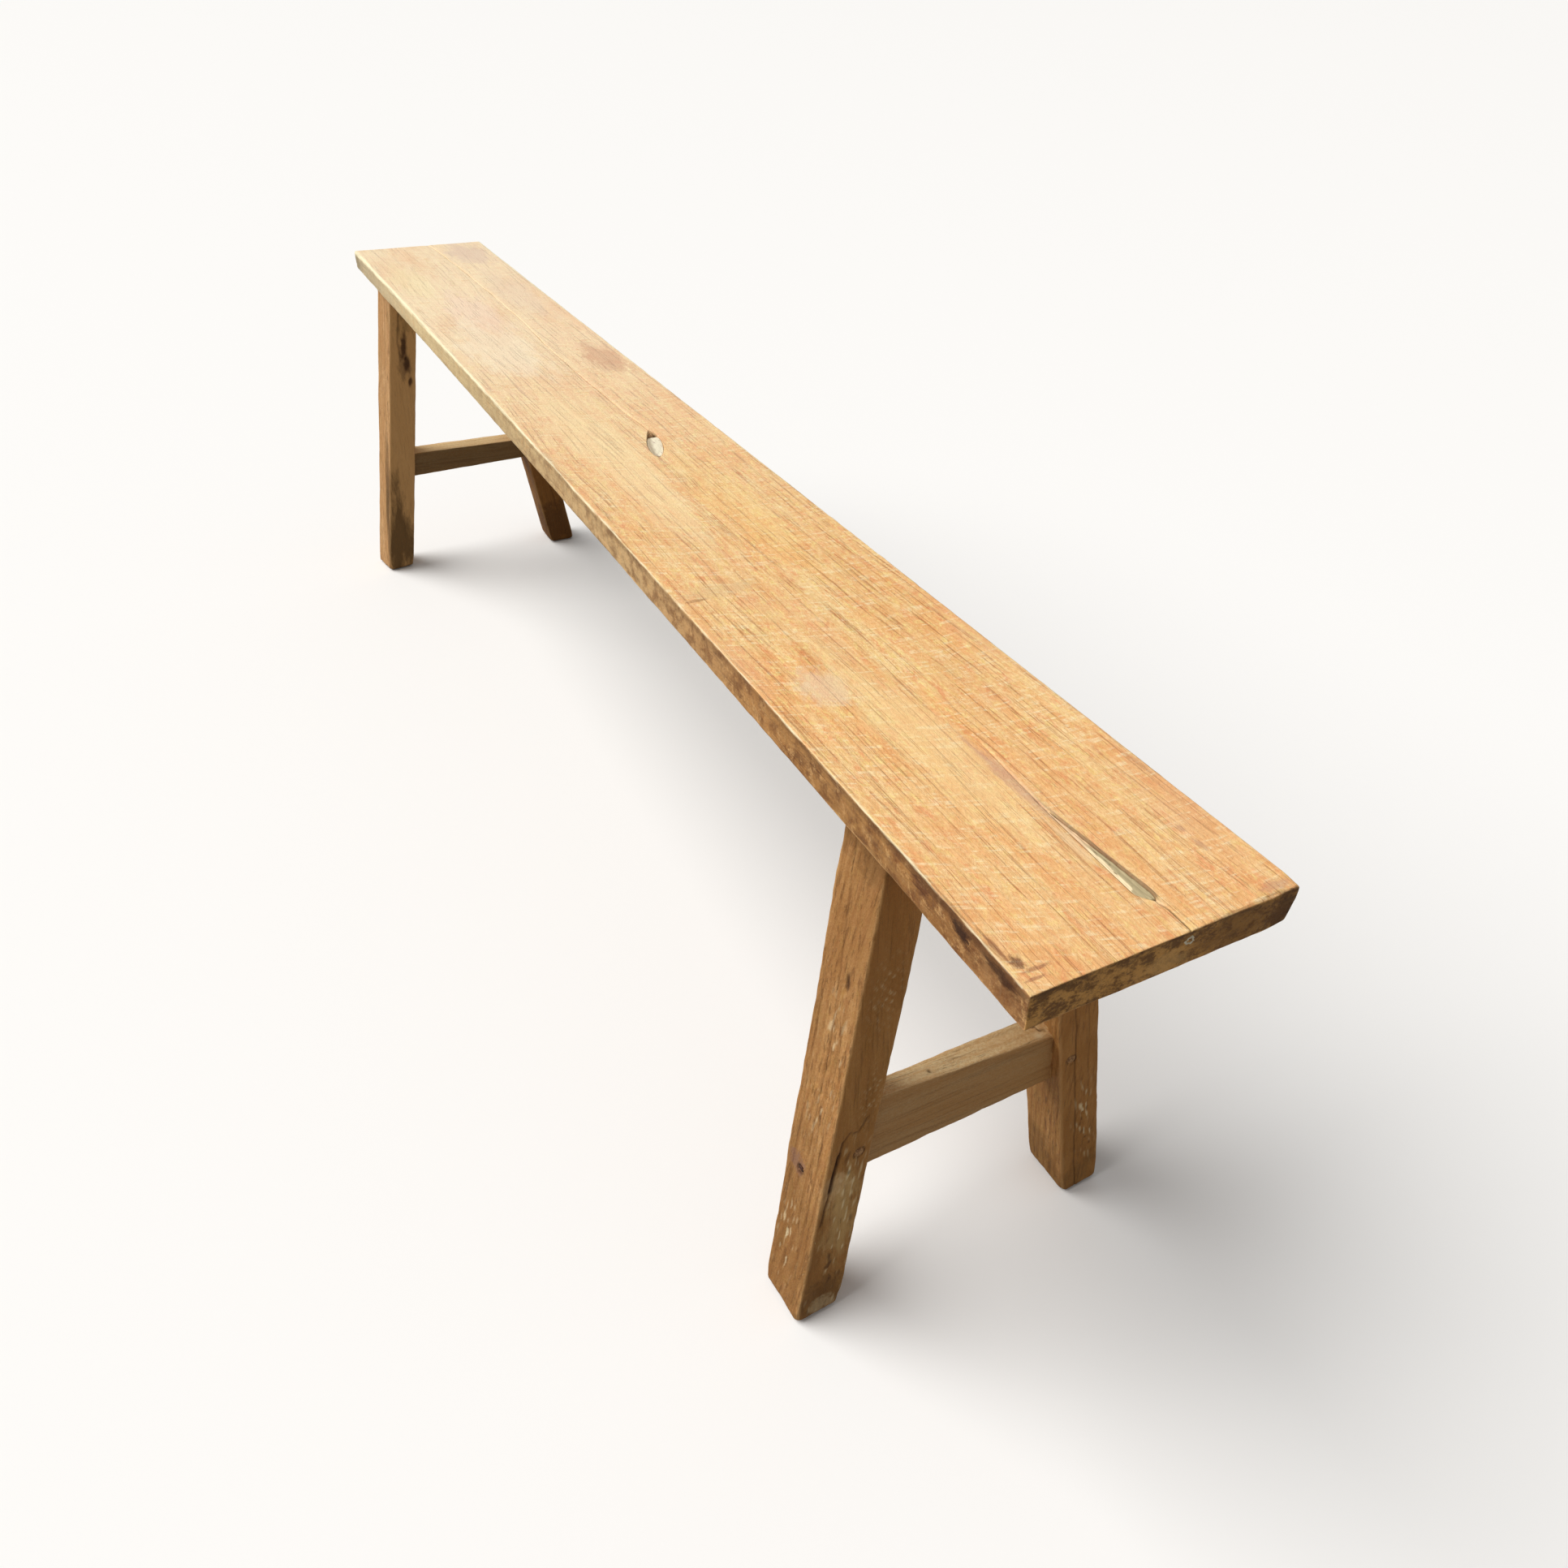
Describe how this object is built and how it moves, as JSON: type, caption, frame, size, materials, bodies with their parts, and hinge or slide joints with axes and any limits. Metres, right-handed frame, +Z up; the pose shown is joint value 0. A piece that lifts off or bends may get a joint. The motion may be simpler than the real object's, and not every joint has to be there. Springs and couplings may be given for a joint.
{
  "type": "backless bench",
  "caption": "Rustic backless bench: one long solid teak plank on splayed square legs, each leg pair joined by a pegged stretcher.",
  "frame": {"origin": "on the floor, under the centre of the seat plank", "axes": "+Z up, +X along the plank to the right end, -Y to the front of the bench"},
  "size_m": [1.76, 0.3296, 0.48],
  "materials": {
    "seat_teak": "sanded honey-coloured teak, waxed, saw marks left in",
    "leg_teak": "worn brown teak, oiled",
    "stretcher_teak": "planed brown teak, paler on top",
    "peg_wood": "dark end grain, flush",
    "grey_filler": "matt grey-green wood filler",
    "white_putty": "matt off-white putty",
    "nail_iron": "dark rusted iron"
  },
  "bodies": {
    "root": {"end_grain_putty": "white_putty", "knot_filler": "grey_filler", "leg_left_back": "leg_teak", "leg_left_front": "leg_teak", "leg_right_back": "leg_teak", "leg_right_front": "leg_teak", "peg_left_back": "peg_wood", "peg_left_front": "peg_wood", "peg_right_back": "peg_wood", "peg_right_front": "peg_wood", "seat_plank": "seat_teak", "split_filler": "grey_filler", "stretcher_left": "stretcher_teak", "stretcher_nail": "nail_iron", "stretcher_right": "stretcher_teak"}
  },
  "joints": []
}
